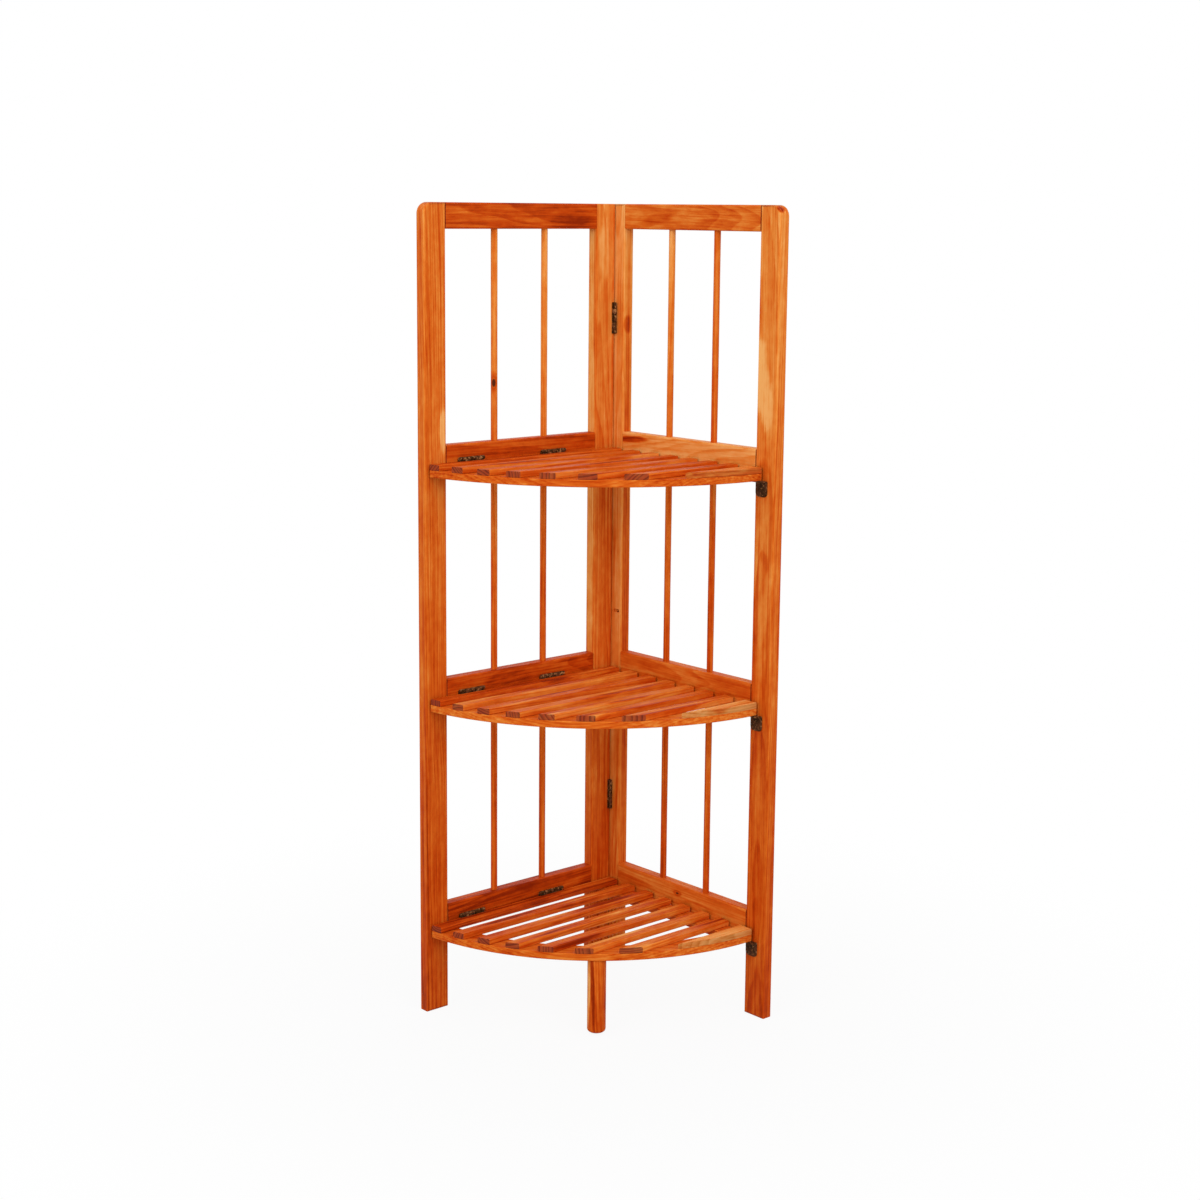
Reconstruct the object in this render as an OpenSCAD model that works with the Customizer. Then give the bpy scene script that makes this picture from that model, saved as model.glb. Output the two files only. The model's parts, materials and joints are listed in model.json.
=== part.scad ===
// Folding corner shelf: two ladder frames that meet at a right angle, three quarter-round slatted
// shelves that fold up against the left frame, and a turned front leg under the lowest shelf.

/* [Frames] */
// Height of both frames
frame_h = 960; // [800:5:1200]
// Width of each frame
frame_w = 291; // [262:1:296]
// Thickness of the frame timber
stock_t = 15; // [13:0.5:18]
// Width of the upright stiles
stile_w = 31; // [26:0.5:36]
// Height of the cross rails
rail_h = 30; // [28:0.5:34]
// Floor to the underside of the lowest rail
foot_h = 99; // [80:1:110]
// Radius of the front top corners
top_round = 13; // [6:0.5:20]
// Radius of the eased long edges of the frame timber
edge_r = 2; // [0.5:0.25:3]
// Length of the stub tenons on the rails
tenon_len = 10; // [8:0.5:16]
// Thickness of the stub tenons
tenon_t = 6; // [4:0.5:8]
// Shoulder above and below a tenon
tenon_shoulder = 4; // [2:0.5:7]

/* [Spindles] */
// Diameter of the round spindles
spindle_d = 8; // [6:0.5:9]
// Spindles in each bay of a frame
spindle_count = 2; // [1:1:2]
// Depth of a spindle's blind socket
socket_depth = 8; // [5:0.5:11]

/* [Shelves] */
// Top of a rail down to the top of its shelf
shelf_drop = 20; // [16:0.5:21]
// Number of slats in a shelf
slat_count = 8; // [7:1:8]
// Width of a slat
slat_w = 15; // [12:0.5:20]
// Width of the last slat at the right frame
last_slat_w = 19.8; // [18:0.2:28]
// Thickness of a slat
slat_t = 7; // [6:0.25:8]
// Radius of the eased long edges of a slat
slat_edge_r = 1.2; // [0.4:0.1:1.6]
// Gap between the left frame and the first slat
slat_gap = 3; // [1.5:0.1:3.5]
// Gap between the right frame and the slat ends
end_gap = 3; // [2:0.25:4]
// Plan width of the curved front rail
front_rail_w = 28; // [22:0.5:34]
// Height of the curved front rail and of the batten
shelf_rail_h = 8.5; // [7:0.25:10]
// Curved front to the screws under the slats
slat_screw_in = 20; // [12:0.5:22]
// Right frame to the far screw of the last slat
last_slat_screw = 58; // [50:1:64]
// Width of the straight batten along the right frame
batten_w = 23; // [18:0.5:30]
// Shelf end back from the front edge of the right frame
right_inset = 18; // [14:0.5:24]
// Shelf end back from the front edge of the left frame
left_inset = 4.6; // [2:0.2:10]

/* [Hinges] */
// Length of a butt hinge
hinge_len = 38; // [34:1:44]
// Hinge pin's axis to the free edge of a leaf
leaf_w = 9.6; // [8.8:0.1:9.6]
// Thickness of a hinge leaf
leaf_t = 1; // [0.8:0.1:1.2]
// Diameter of the hinge barrel
barrel_d = 4.4; // [4.2:0.1:5.2]
// Diameter of the hinge pin
pin_d = 2.2; // [1.8:0.1:2.6]
// Hinge end to the nearer screw
leaf_screw_end = 4.5; // [3:0.5:5]
// Corner to the middle of the back shelf hinge
hinge_back = 100; // [99:0.5:108]
// Front hinge to the front end of its rail
hinge_front_gap = 16; // [2:1:24]
// Height of the middle of the lower corner hinge
corner_hinge_low = 218; // [170:1:330]
// Height of the middle of the upper corner hinge
corner_hinge_high = 822; // [720:1:860]

/* [Brackets and screws] */
// Width of a shelf bracket
bracket_w = 18; // [14:0.5:20]
// Height of a bracket below the shelf
bracket_drop = 19; // [17:0.5:24]
// Reach of a bracket under the shelf
bracket_reach = 9; // [8:0.5:22]
// Thickness of a bracket
bracket_t = 1.5; // [1:0.1:2]
// Radius of a bracket's lower corners
bracket_round = 5; // [1:0.5:8]
// Shelf end to the middle of its bracket
bracket_inset = 2; // [0:0.5:8]
// Spacing of the two screws in a bracket
bracket_pitch = 8; // [7:0.5:10]
// Middle of a bracket down to the middle of its screws
bracket_screw_low = 1; // [0:0.25:2]
// Diameter of a screw's shank
screw_d = 2.2; // [1.6:0.1:2.4]
// Diameter of a screw's head
screw_head_d = 4.2; // [3.6:0.1:4.6]
// Length of the screws in the hinges and brackets
screw_len = 9; // [7:0.5:10]
// Length of the screws that hold the slats
slat_screw_len = 13; // [11:0.5:14]
// Length of the screw in the corner slot
corner_screw_len = 10; // [8:0.5:10]
// Height of the corner slot
corner_screw_z = 457; // [430:1:620]
// Ends of the corner slot to the edges of the stile's open face
corner_slot_end = 2; // [1:0.5:4]
// Depth of the corner slot
corner_slot_depth = 2.5; // [1:0.25:3]

/* [Leg] */
// Diameter of the front leg
leg_d = 22; // [18:0.5:25]
// Radius of the leg's lower edge
leg_round = 1.5; // [0.5:0.25:3]
// Curved edge of the shelf to the leg
leg_edge_gap = 2; // [0:0.25:6]
// Diameter of the glide under the leg
glide_d = 5; // [4:0.5:10]
// Height of the glide's head
glide_h = 3; // [2:0.25:4]
// Length of the glide's shank
glide_shank = 14; // [8:1:20]
// Diameter of the double-ended screw in the leg
leg_screw_d = 5; // [4:0.5:6]
// Length of the double-ended screw inside the leg
leg_screw_len = 25; // [15:1:40]
// Wood left over the double-ended screw in the curved rail
leg_screw_cover = 1; // [0.5:0.25:2]

/* [Hidden] */
$fn = 48;
arc_facets = 128;  // sides of the large discs that shape the curved front
fit = 0.1;         // clearance round a tenon and in a hinge seat
round_fit = 0.05;  // radial clearance of a round piece in its hole
turn_gap = 0.4;    // clearance beside a turning barrel
knuckle_gap = 0.3; // clearance between two knuckles
cut_past = 1;      // how far a cut runs past the face that it opens
knuckles = 5;
bays = 3;

bay_h = (frame_h - foot_h - (bays + 1) * rail_h) / bays;
rail_tops = [for (i = [0:bays]) foot_h + rail_h + i * (bay_h + rail_h)];
rail_len = frame_w - 2 * stile_w;
shelf_tops = [for (i = [0:bays - 1]) rail_tops[i] - shelf_drop];
shelf_names = ["low", "middle", "top"];

// Inner corner of the two frames, from the middle of the footprint
corner_x = stock_t - frame_w / 2;
corner_y = (frame_w - stock_t) / 2;

// Curved front: a circle about a point on the line of the right frame's inner face
shelf_x = frame_w - stock_t - right_inset;
shelf_y = frame_w - left_inset;
arc_back = (pow(shelf_y, 2) + pow(slat_gap, 2) - pow(shelf_x, 2)) / (2 * (shelf_x - slat_gap));
arc_r = shelf_x + arc_back;
slat_pitch = (shelf_x - slat_gap - last_slat_w) / (slat_count - 1);
shelf_t = slat_t + shelf_rail_h;

hinge_side = barrel_d / 2 + turn_gap;
leaf_screw_y = (leaf_w + hinge_side) / 2;
leaf_screw_z = hinge_len / 2 - leaf_screw_end;
knuckle_pitch = hinge_len / knuckles;
shelf_hinges = [hinge_back, frame_w - stile_w - hinge_front_gap - hinge_len / 2];
corner_hinges = [corner_hinge_low, corner_hinge_high];

// The leg stands on the corner's diagonal with its front under the curved edge
leg_ring = arc_r - leg_d / 2 - leg_edge_gap;
leg_at = (sqrt(2 * pow(leg_ring, 2) - pow(arc_back, 2)) - arc_back) / 2;
leg_top = shelf_tops[0] - shelf_t;
bracket_x = shelf_x - bracket_inset;
bracket_screw_z = [for (s = [-1, 1]) -bracket_drop / 2 - bracket_screw_low + s * bracket_pitch / 2];

wood = [0.78, 0.36, 0.12];
pale_wood = [0.86, 0.47, 0.17];
bronze = [0.24, 0.17, 0.12];

// Places a piece drawn from the inner corner into the row's frame
module at_corner() {
    translate([corner_x, corner_y, 0]) children();
}

// A frame is drawn along +X from its corner end, with its inner face on Y = 0 and its thickness in +Y
module as_left() {
    mirror([1, 1, 0]) children();
}

module as_right() {
    translate([-stock_t, 0, 0]) children();
}

module eased_rect(w, t, r) {
    translate([r, 0]) square([w - 2 * r, t]);
    translate([0, r]) square([w, t - 2 * r]);
    for (x = [r, w - r], y = [r, t - r]) translate([x, y]) circle(r);
}

// Countersunk screw with its head on Z = 0 and its point down
module screw(len, grow = 0, head = true) {
    shank = screw_d / 2 + grow;
    flare = head ? screw_head_d / 2 + grow : shank;
    rotate_extrude() polygon([[0, 0], [flare, 0], [shank, -leaf_t - grow],
        [shank, screw_d - len - grow], [0, -len - grow]]);
}

// Frame timber

module mortises(stile_edge, inward) {
    for (top = rail_tops)
        translate([inward > 0 ? stile_edge : stile_edge - tenon_len - fit, (stock_t - tenon_t) / 2 - fit,
                   top - rail_h + tenon_shoulder - fit])
            cube([tenon_len + fit, tenon_t + 2 * fit, rail_h - 2 * tenon_shoulder + 2 * fit]);
}

module back_stile() {
    difference() {
        linear_extrude(frame_h) eased_rect(stile_w, stock_t, edge_r);
        mortises(stile_w, -1);
    }
}

module front_stile() {
    difference() {
        translate([frame_w - stile_w, 0, 0]) intersection() {
            linear_extrude(frame_h) eased_rect(stile_w, stock_t, edge_r);
            translate([0, stock_t, 0]) rotate([90, 0, 0]) linear_extrude(stock_t) union() {
                square([stile_w, frame_h - top_round]);
                square([stile_w - top_round, frame_h]);
                translate([stile_w - top_round, frame_h - top_round]) circle(top_round);
            }
        }
        mortises(frame_w - stile_w, 1);
    }
}

function spindle_x(i) = stile_w + rail_len * (i + 1) / (spindle_count + 1);

module rail(level) {
    top = rail_tops[level];
    difference() {
        union() {
            translate([stile_w, 0, top - rail_h]) rotate([90, 0, 90])
                linear_extrude(rail_len) eased_rect(stock_t, rail_h, edge_r);
            translate([stile_w - tenon_len, (stock_t - tenon_t) / 2, top - rail_h + tenon_shoulder])
                cube([rail_len + 2 * tenon_len, tenon_t, rail_h - 2 * tenon_shoulder]);
        }
        for (i = [0:spindle_count - 1]) translate([spindle_x(i), stock_t / 2, 0]) {
            if (level < bays) translate([0, 0, top - socket_depth - fit])
                cylinder(d = spindle_d + 2 * round_fit, h = socket_depth + fit + cut_past);
            if (level > 0) translate([0, 0, top - rail_h - cut_past])
                cylinder(d = spindle_d + 2 * round_fit, h = socket_depth + fit + cut_past);
        }
    }
}

module spindles() {
    for (level = [0:bays - 1], i = [0:spindle_count - 1])
        translate([spindle_x(i), stock_t / 2, rail_tops[level] - socket_depth])
            cylinder(d = spindle_d, h = bay_h + 2 * socket_depth);
}

module left_back_stile() {
    color(wood) at_corner() difference() {
        as_left() back_stile();
        for (z = corner_hinges) corner_hinge_at(z) {
            translate([-cut_past, -leaf_w - fit, -hinge_len / 2 - fit])
                cube([2 * hinge_side + cut_past, leaf_w, hinge_len + 2 * fit]);
            leaf_screws(1, round_fit);
        }
    }
}

module right_back_stile() {
    color(wood) at_corner() difference() {
        as_right() back_stile();
        for (z = corner_hinges) corner_hinge_at(z) leaf_screws(0, round_fit);
        corner_screw_place() {
            screw(corner_screw_len, round_fit);
            corner_slot();
        }
    }
}

module right_front_stile() {
    color(wood) at_corner() difference() {
        as_right() front_stile();
        for (i = [0:bays - 1]) bracket_screws(i, round_fit);
    }
}

// A left rail that carries a shelf is drilled for the hinge screws
module left_shelf_rail(level) {
    color(wood) at_corner() difference() {
        as_left() rail(level);
        for (y = shelf_hinges) shelf_hinge_at(level, y) leaf_screws(0, round_fit);
    }
}

// Hinges
// A closed butt hinge stands along Z with its first leaf's back on X = 0, its pin at X = hinge_side
// and both leaves towards -Y

module knuckle_rings(first, grow = 0) {
    for (k = [first:2:knuckles - 1])
        translate([hinge_side, 0, -hinge_len / 2 + k * knuckle_pitch + knuckle_gap / 2])
            cylinder(d = barrel_d + 2 * grow, h = knuckle_pitch - knuckle_gap);
}

module leaf(side) {
    plate_x = side == 0 ? 0 : 2 * hinge_side - leaf_t;
    difference() {
        union() {
            translate([plate_x, -leaf_w, -hinge_len / 2])
                cube([leaf_t, leaf_w - barrel_d / 2 - turn_gap, hinge_len]);
            for (k = [side:2:knuckles - 1])
                translate([plate_x, -leaf_w, -hinge_len / 2 + k * knuckle_pitch + knuckle_gap / 2])
                    cube([leaf_t, leaf_w, knuckle_pitch - knuckle_gap]);
            knuckle_rings(side);
        }
        translate([hinge_side, 0, -hinge_len]) cylinder(d = pin_d + 2 * round_fit, h = 2 * hinge_len);
        leaf_screws(side, round_fit);
    }
}

module leaf_screws(side, grow = 0) {
    for (z = [-leaf_screw_z, leaf_screw_z])
        translate([side == 0 ? leaf_t : 2 * hinge_side - leaf_t, -leaf_screw_y, z])
            rotate([0, side == 0 ? 90 : -90, 0]) screw(screw_len, grow);
}

module pin() {
    translate([hinge_side, 0, -hinge_len / 2]) cylinder(d = pin_d, h = hinge_len);
}

module shelf_hinge_at(level, y) {
    translate([0, -y, shelf_tops[level] + hinge_side]) rotate([90, 0, 0]) children();
}

module corner_hinge_at(z) {
    translate([hinge_side, 0, z]) rotate([0, 0, -90]) children();
}

module corner_hinge_right_leaves() {
    color(bronze) at_corner() for (z = corner_hinges) corner_hinge_at(z) leaf(0);
}

module corner_hinge_left_leaves() {
    color(bronze) at_corner() for (z = corner_hinges) corner_hinge_at(z) leaf(1);
}

module shelf_hinge_rail_leaves() {
    color(bronze) at_corner()
        for (level = [0:bays - 1], y = shelf_hinges) shelf_hinge_at(level, y) leaf(0);
}

module hinge_pins() {
    color(bronze) at_corner() {
        for (z = corner_hinges) corner_hinge_at(z) pin();
        for (level = [0:bays - 1], y = shelf_hinges) shelf_hinge_at(level, y) pin();
    }
}

// Brackets and screws of the frames

module bracket_screws(level, grow = 0) {
    for (z = bracket_screw_z)
        translate([bracket_x, -bracket_t, shelf_tops[level] - shelf_t + z])
            rotate([90, 0, 0]) screw(screw_len, grow);
}

module bracket(level) {
    translate([bracket_x - bracket_w / 2, 0, shelf_tops[level] - shelf_t]) {
        rotate([90, 0, 0]) linear_extrude(bracket_t) union() {
            translate([0, bracket_round - bracket_drop]) square([bracket_w, bracket_drop - bracket_round]);
            translate([bracket_round, -bracket_drop]) square([bracket_w - 2 * bracket_round, bracket_drop]);
            for (x = [bracket_round, bracket_w - bracket_round])
                translate([x, bracket_round - bracket_drop]) circle(bracket_round);
        }
        translate([0, -bracket_reach, -bracket_t]) cube([bracket_w, bracket_reach, bracket_t]);
    }
}

module shelf_brackets() {
    color(bronze) at_corner() difference() {
        for (level = [0:bays - 1]) bracket(level);
        for (level = [0:bays - 1]) bracket_screws(level, round_fit);
    }
}

module frame_screws() {
    color(bronze) at_corner() {
        for (level = [0:bays - 1]) bracket_screws(level);
        for (level = [0:bays - 1], y = shelf_hinges) shelf_hinge_at(level, y) leaf_screws(0);
        for (z = corner_hinges, side = [0, 1]) corner_hinge_at(z) leaf_screws(side);
    }
}

// The floor of the slot in the middle of the right back stile's open face, looking out of the wood
module corner_screw_place() {
    translate([(stile_w - stock_t) / 2, corner_slot_depth, corner_screw_z]) rotate([90, 0, 0]) children();
}

// A level slot with round ends, as high as the screw's head, so that the screw can be set along it
module corner_slot() {
    r = screw_head_d / 2 + fit;
    half = (stile_w - stock_t) / 2 - corner_slot_end - r;
    linear_extrude(corner_slot_depth + cut_past) union() {
        translate([-half, -r]) square([2 * half, 2 * r]);
        for (x = [-half, half]) translate([x, 0]) circle(r);
    }
}

module corner_screw() {
    color(bronze) at_corner() corner_screw_place() screw(corner_screw_len);
}

// Shelves

module disc(r, z, h) {
    translate([-arc_back, 0, z]) cylinder(r = r, h = h, $fn = arc_facets);
}

function slat_x(k) = slat_gap + (k - 1) * slat_pitch;

// Places of the two screws under a slat: on the batten and on the curved rail
function slat_screw_x(k) = slat_x(k) + slat_w / 2;
function slat_screw_y(k) = k < slat_count
    ? [end_gap + batten_w / 2, sqrt(pow(arc_r - slat_screw_in, 2) - pow(slat_screw_x(k) + arc_back, 2))]
    : [end_gap + batten_w / 2, last_slat_screw];

module slat_screws(level, k, grow = 0) {
    for (y = slat_screw_y(k))
        translate([slat_screw_x(k), -y, shelf_tops[level] - shelf_t])
            rotate([180, 0, 0]) screw(slat_screw_len, grow);
}

module slat(level, k) {
    width = k < slat_count ? slat_w : last_slat_w + slat_edge_r;
    top = shelf_tops[level];
    color(k % 2 == 0 ? wood : pale_wood) at_corner() difference() {
        intersection() {
            translate([slat_x(k), -end_gap, top - slat_t]) rotate([90, 0, 0])
                linear_extrude(shelf_y) eased_rect(width, slat_t, slat_edge_r);
            disc(arc_r, top - slat_t - cut_past, slat_t + 2 * cut_past);
        }
        slat_screws(level, k, round_fit);
        if (k == 1) for (y = shelf_hinges) {
            translate([0, -y - hinge_len / 2 - fit, top - slat_t - cut_past])
                cube([2 * hinge_side, hinge_len + 2 * fit, slat_t + 2 * cut_past]);
            shelf_hinge_at(level, y) leaf_screws(1, round_fit);
        }
    }
}

module front_rail(level) {
    z = shelf_tops[level] - shelf_t;
    color(pale_wood) at_corner() difference() {
        intersection() {
            difference() {
                disc(arc_r, z, shelf_rail_h);
                disc(arc_r - front_rail_w, z - cut_past, shelf_rail_h + 2 * cut_past);
            }
            translate([slat_gap, -end_gap - 2 * arc_r, z]) cube([2 * arc_r, 2 * arc_r, shelf_rail_h]);
        }
        for (k = [1:slat_count]) slat_screws(level, k, round_fit);
        if (level == 0) leg_screw_solid(round_fit);
    }
}

module batten(level) {
    z = shelf_tops[level] - shelf_t;
    color(wood) at_corner() difference() {
        intersection() {
            translate([slat_gap, -end_gap - batten_w, z]) cube([shelf_x, batten_w, shelf_rail_h]);
            disc(arc_r - front_rail_w - fit, z, shelf_rail_h);
        }
        for (k = [1:slat_count - 1]) slat_screws(level, k, round_fit);
    }
}

module shelf_leaves(level) {
    color(bronze) at_corner() for (y = shelf_hinges) shelf_hinge_at(level, y) leaf(1);
}

module shelf_screws(level) {
    color(bronze) at_corner() {
        for (k = [1:slat_count]) slat_screws(level, k);
        for (y = shelf_hinges) shelf_hinge_at(level, y) leaf_screws(1);
    }
}

// Leg

module at_leg() {
    translate([leg_at, -leg_at, 0]) children();
}

module leg_screw_solid(grow = 0) {
    r = leg_screw_d / 2 + grow;
    tip = leg_screw_d;
    rise = shelf_rail_h - leg_screw_cover;
    at_leg() rotate_extrude() polygon([[0, leg_top - leg_screw_len - grow], [r, leg_top - leg_screw_len + tip],
        [r, leg_top + rise - tip / 2], [0, leg_top + rise + grow]]);
}

module glide_solid(grow = 0) {
    r = glide_d / 2;
    shank = screw_d / 2 + grow;
    at_leg() rotate_extrude() union() {
        intersection() {
            translate([0, r]) circle(r);
            square([r, glide_h]);
        }
        translate([0, glide_h / 2]) square([shank, glide_h / 2 + glide_shank + grow]);
    }
}

module leg_post() {
    color(wood) at_corner() difference() {
        at_leg() rotate_extrude() translate([0, glide_h]) {
            square([leg_d / 2 - leg_round, leg_top - glide_h]);
            translate([0, leg_round]) square([leg_d / 2, leg_top - glide_h - leg_round]);
            translate([leg_d / 2 - leg_round, leg_round]) circle(leg_round);
        }
        leg_screw_solid(round_fit);
        glide_solid(round_fit);
    }
}

module leg_glide() {
    color(bronze) at_corner() glide_solid();
}

module leg_screw() {
    color(bronze) at_corner() leg_screw_solid();
}

module left_front_stile() {
    color(wood) at_corner() as_left() front_stile();
}

module left_top_rail() {
    color(wood) at_corner() as_left() rail(bays);
}

module right_rail(level) {
    color(wood) at_corner() as_right() rail(level);
}

module left_spindles() {
    color(wood) at_corner() as_left() spindles();
}

module right_spindles() {
    color(wood) at_corner() as_right() spindles();
}

left_front_stile();
left_back_stile();
right_back_stile();
right_front_stile();
left_top_rail();
left_shelf_rail(2);  // left_upper_rail
left_shelf_rail(1);  // left_middle_rail
left_shelf_rail(0);  // left_lower_rail
right_rail(bays);  // right_top_rail
right_rail(2);  // right_upper_rail
right_rail(1);  // right_middle_rail
right_rail(0);  // right_lower_rail
left_spindles();
right_spindles();
corner_hinge_right_leaves();
corner_hinge_left_leaves();
shelf_hinge_rail_leaves();
hinge_pins();
shelf_brackets();
frame_screws();
corner_screw();
for (level = [0:bays - 1]) {
    shelf = shelf_names[level];
    for (k = [1:slat_count]) slat(level, k);
    front_rail(level);
    batten(level);
    shelf_leaves(level);
    shelf_screws(level);
}
leg_post();
leg_glide();
leg_screw();
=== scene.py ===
"""Dresses the folding corner shelf: stained pine, bronzed fittings, a pale floor and soft light.

Lengths in the tables and in the meshes are millimetres from the inner corner of the two frames: x
runs along the right frame, y along the left frame towards its front (negative), z up from the
floor. In a frame, u runs from its corner end to its front end and n from its inner face outwards.
Node trees measure in metres.
"""

import json

import bpy
import numpy as np
from mathutils import Matrix, Vector

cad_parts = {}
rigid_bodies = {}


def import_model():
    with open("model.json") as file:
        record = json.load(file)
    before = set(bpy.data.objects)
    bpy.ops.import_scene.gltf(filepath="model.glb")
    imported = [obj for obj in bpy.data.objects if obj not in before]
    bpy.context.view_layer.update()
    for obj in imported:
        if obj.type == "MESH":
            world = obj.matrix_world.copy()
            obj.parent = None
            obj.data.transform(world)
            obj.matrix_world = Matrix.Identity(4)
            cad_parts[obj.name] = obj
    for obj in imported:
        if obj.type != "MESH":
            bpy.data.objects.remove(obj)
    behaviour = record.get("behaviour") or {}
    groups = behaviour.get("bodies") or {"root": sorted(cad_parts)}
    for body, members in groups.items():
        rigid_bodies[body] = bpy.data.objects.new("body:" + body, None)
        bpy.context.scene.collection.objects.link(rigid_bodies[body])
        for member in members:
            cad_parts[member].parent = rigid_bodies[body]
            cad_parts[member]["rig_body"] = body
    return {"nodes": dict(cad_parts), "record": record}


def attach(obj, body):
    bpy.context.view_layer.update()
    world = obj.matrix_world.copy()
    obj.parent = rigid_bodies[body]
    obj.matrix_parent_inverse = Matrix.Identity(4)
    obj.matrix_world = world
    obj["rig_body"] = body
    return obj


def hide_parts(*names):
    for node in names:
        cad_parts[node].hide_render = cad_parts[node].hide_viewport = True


bl_info = {
    "name": "Corner shelf",
    "version": (1, 0, 0),
    "blender": (4, 5, 0),
    "location": "View3D > Sidebar > Corner shelf",
    "description": "Stained pine pieces, bronzed fittings and the stage of a folding corner shelf",
    "category": "Object",
}

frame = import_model()
NODES = frame["nodes"]
SLOTS = {part["node"]: part["material_slot"] for part in frame["record"]["subparts"]}
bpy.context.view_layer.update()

# Millimetres in a metre, and the inner corner's place in the row's frame
MM = 1000.0
CORNER = np.array([-130.5, 138.0, 0.0])

# Frames: whole size, section of the stiles, height of the rails and of their tops, round of the
# front corners, radius of the spindles and depth of their sockets
HEIGHT = 960.0
WIDTH = 291.0
STILE = 31.0
THICK = 15.0
RAIL = 30.0
RAIL_TOPS = (129.0, 406.0, 683.0, 960.0)
TOP_ROUND = 13.0
SPINDLE_R = 4.0
SOCKET = 8.0

# The slot in the right back stile: height, depth, centres and radius of its ends, and its screw
SLOT_Z = 457.0
SLOT_DEEP = 2.5
SLOT_ENDS = (19.9, 26.1)
SLOT_R = 2.2
CORNER_SCREW = (8.0, 2.5, SLOT_Z)

# Shelves: tops, spacing and section of the slats, gaps to the two frames, and reach along x and y.
# The curved front is a circle about (-ARC_BACK, 0)
SHELF_TOPS = {"low": 109.0, "middle": 386.0, "top": 663.0}
SLATS = 8
SLAT_PITCH = 33.6
SLAT_W = 15.0
SLAT_T = 7.0
SLAT_BACK = 3.0
END_GAP = 3.0
SHELF_X = 258.0
SHELF_Y = 286.4
ARC_BACK = (SHELF_Y**2 + SLAT_BACK**2 - SHELF_X**2) / (2 * (SHELF_X - SLAT_BACK))
ARC_R = SHELF_X + ARC_BACK
RAIL_W = 28.0
BATTEN_W = 23.0
APRON_H = 8.5
SHELF_T = SLAT_T + APRON_H
APRON_EDGE = 0.8

# Hinges: distances of the shelf hinges from the corner, heights of the corner hinges, length,
# thickness when closed, the leaves' width and thickness, the knuckles, the gap beside each and
# their radius. FIT is the play round fitted pieces
HINGES = (100.0, 225.0)
CORNER_HINGES = (218.0, 822.0)
HINGE_L = 38.0
NOTCH = 5.2
LEAF_W = 9.6
LEAF_T = 1.0
KNUCKLES = 5
KNUCKLE_GAP = 0.15
BARREL_R = 2.2
FIT = 0.1

# Brackets and screws: middle and thickness of a bracket, lengths of the screws, how far inside the
# arc a slat's front screw lies, and where the last slat's lies instead
BRACKET_X = 256.0
BRACKET_T = 1.5
SCREW_L = 9.0
CORNER_SCREW_L = 10.0
SLAT_SCREW_L = 13.0
SCREW_IN = 20.0
LAST_SCREW = 58.0


def seeded(name):
    """Random numbers that are the same each run and differ from piece to piece."""
    return np.random.default_rng(sum((i + 1) * ord(c) for i, c in enumerate(name)))


# Meshes


def arc(centre, radius, start, stop, steps):
    """Points on a circle between two angles in degrees."""
    a = np.radians(np.linspace(start, stop, steps))
    return np.stack([centre[0] + radius * np.cos(a), centre[1] + radius * np.sin(a)], 1)


def circles(radius, around):
    """The x and y of the points round circles of the given radii, a row for each circle."""
    a = np.linspace(0, 2 * np.pi, around, endpoint=False)
    return radius[:, None] * np.cos(a), radius[:, None] * np.sin(a)


def quarter_round(radius, steps):
    """The rise and the remaining inset at each step of a quarter round."""
    a = np.linspace(0, np.pi / 2, steps)
    return radius * (1 - np.cos(a)), radius * (1 - np.sin(a))


def edge_directions(outline):
    """Unit vectors from each point of a closed outline to the next."""
    ahead = np.roll(outline, -1, 0) - outline
    return ahead / np.linalg.norm(ahead, axis=1)[:, None]


def drawn_in(outline, distance):
    """The outline with each edge moved inwards by its own distance. A corner moves to where its two
    moved edges cross."""
    straight = 1e-5
    ahead = edge_directions(outline)
    after = np.stack([-ahead[:, 1], ahead[:, 0]], 1)
    before = np.roll(after, 1, 0)
    d2, d1 = distance, np.roll(distance, 1)
    c = (after * before).sum(1)
    flat = 1 - c * c < straight
    k = 1 / np.where(flat, 1.0, 1 - c * c)
    a = np.where(flat, d1 / 2, (d1 - c * d2) * k)
    b = np.where(flat, d2 / 2, (d2 - c * d1) * k)
    return outline + a[:, None] * before + b[:, None] * after


def ring_faces(rings, around):
    """Quads between neighbouring rings of a closed outline."""
    i = np.arange(rings - 1)[:, None] * around
    j = np.arange(around)[None, :]
    k = (j + 1) % around
    return np.stack([i + j, i + k, i + around + k, i + around + j], -1).reshape(-1, 4)


def tube_faces(rings, around):
    """Quads between the rings, and one cap at each end."""
    last = (rings - 1) * around
    caps = [list(range(around))[::-1], list(range(last, last + around))]
    return ring_faces(rings, around).tolist(), caps


def slab(outline, shares, thick, ease):
    """A board from its outline, counterclockwise, carried through its thickness. At both faces the
    outline is drawn in by a quarter round of radius ease times each edge's share, and a narrow rim
    inside it keeps the flats' shading flat. Hands back the points, and the rings' number and
    size."""
    steps, rim = 4, 0.5
    rise, inset = quarter_round(ease, steps)
    depth = np.concatenate(
        [[0], rise, [ease + rim, thick - ease - rim], thick - rise[::-1], [thick]])
    inset = np.concatenate([[ease + rim], inset, [0, 0], inset[::-1], [ease + rim]])
    rings = np.stack([drawn_in(outline, shares * d) for d in inset])
    level = np.repeat(depth[:, None, None], rings.shape[1], 1)
    return np.concatenate([rings, level], -1).reshape(-1, 3), len(depth), len(outline)


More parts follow.
